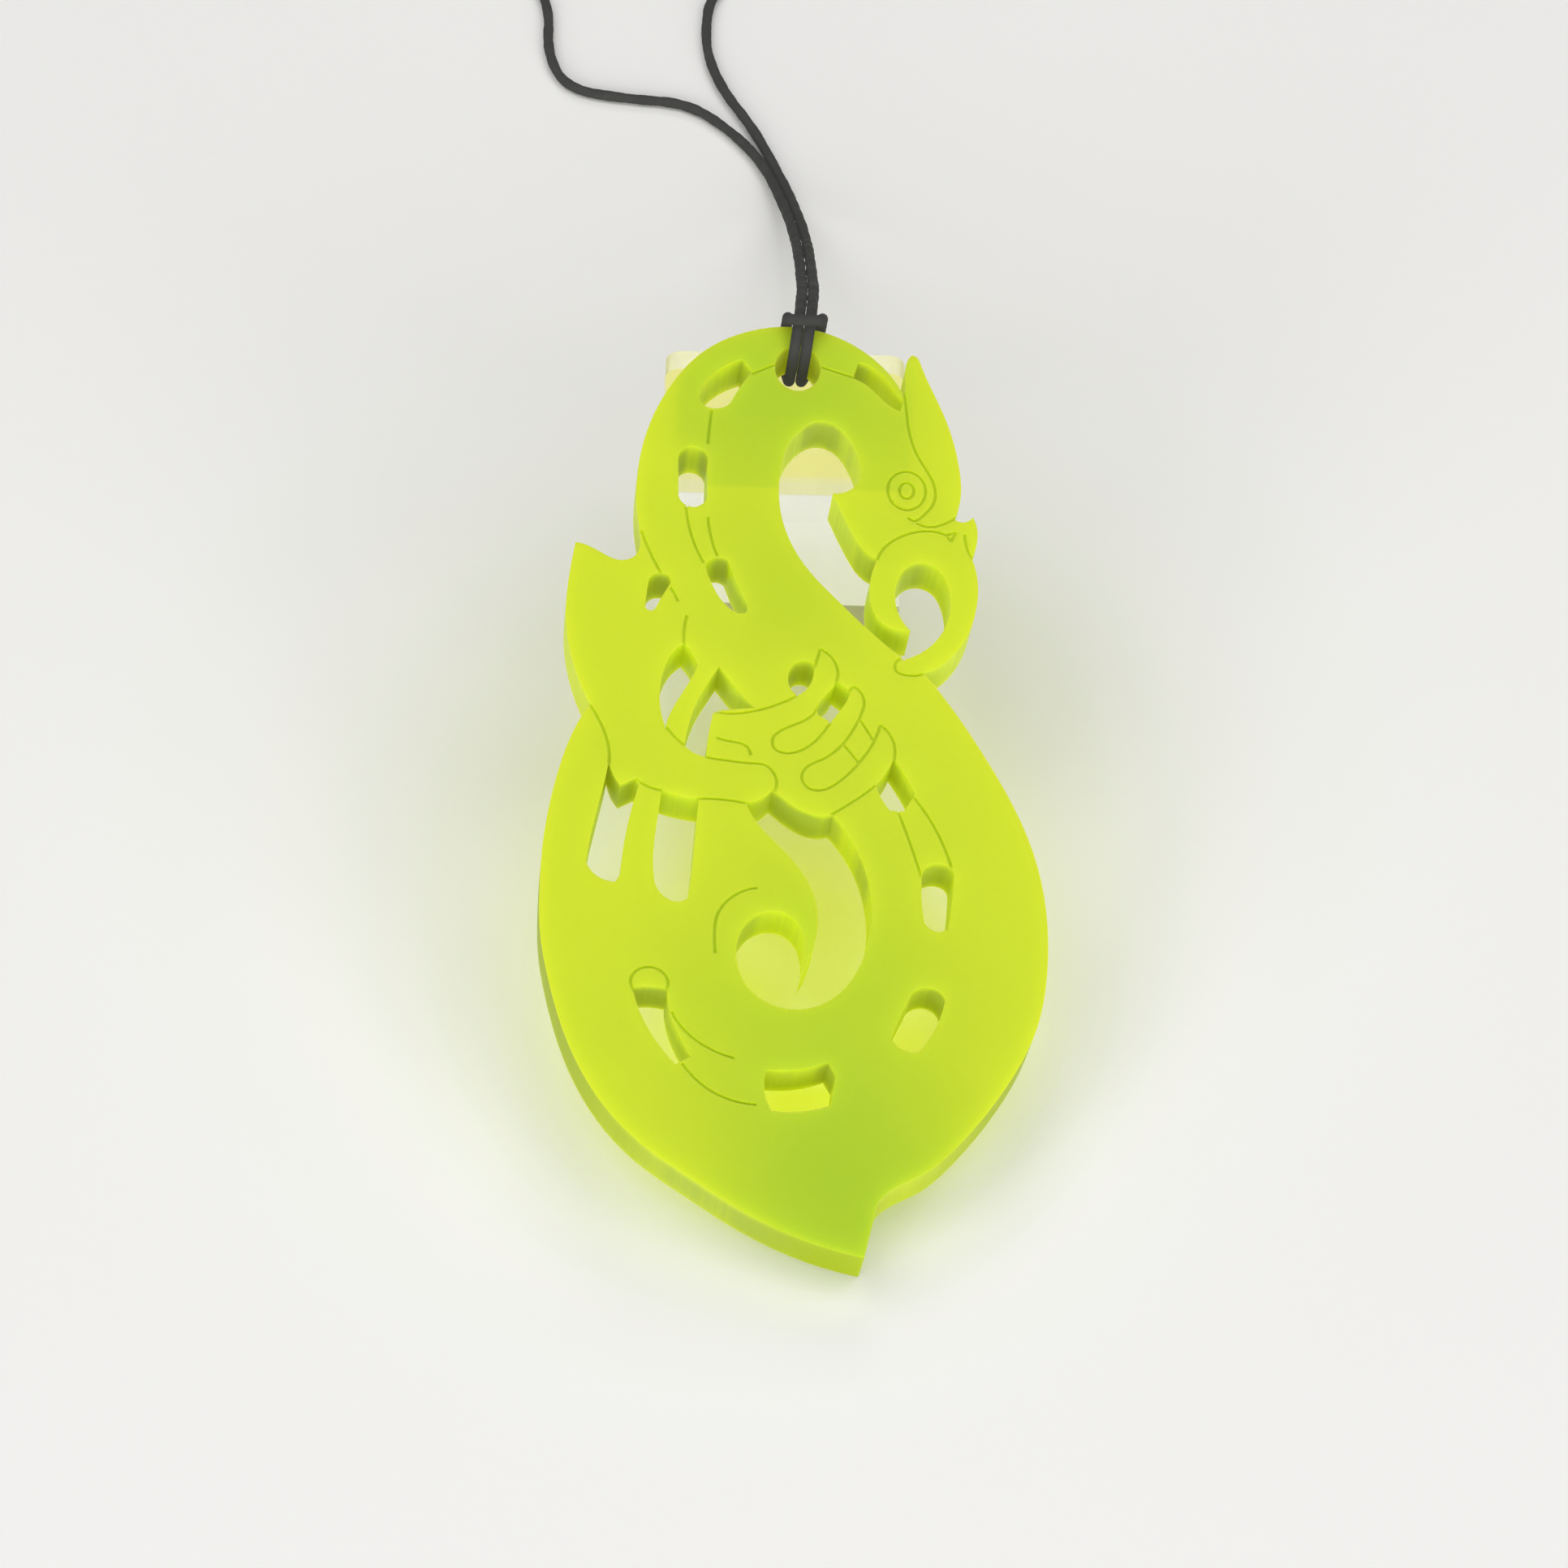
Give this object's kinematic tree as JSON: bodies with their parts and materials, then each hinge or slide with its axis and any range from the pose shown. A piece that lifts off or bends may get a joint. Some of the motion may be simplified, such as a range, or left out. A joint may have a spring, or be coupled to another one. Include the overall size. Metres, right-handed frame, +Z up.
{
  "type": "manaia pendant on a clear display stand",
  "caption": "Flat pierced and engraved manaia figure in lime acrylic, on a waxed cord loop, propped on a small clear stand.",
  "frame": {"origin": "centre of the footprint of the pendant and its stand, on the table", "axes": "+Z up; the pendant's long axis runs from its tip at -Y up to its head at +Y, and its engraved face looks up; +X is the side that the beak points to"},
  "size_m": [0.0723, 0.2305, 0.0373],
  "materials": {
    "lime_acrylic": "satin",
    "waxed_cord": "waxed",
    "clear_acrylic": "polished"
  },
  "bodies": {
    "root": {"pendant": "lime_acrylic", "cord_hitch": "waxed_cord", "cord": "waxed_cord", "slide_knot": "waxed_cord", "stand": "clear_acrylic"}
  },
  "joints": []
}
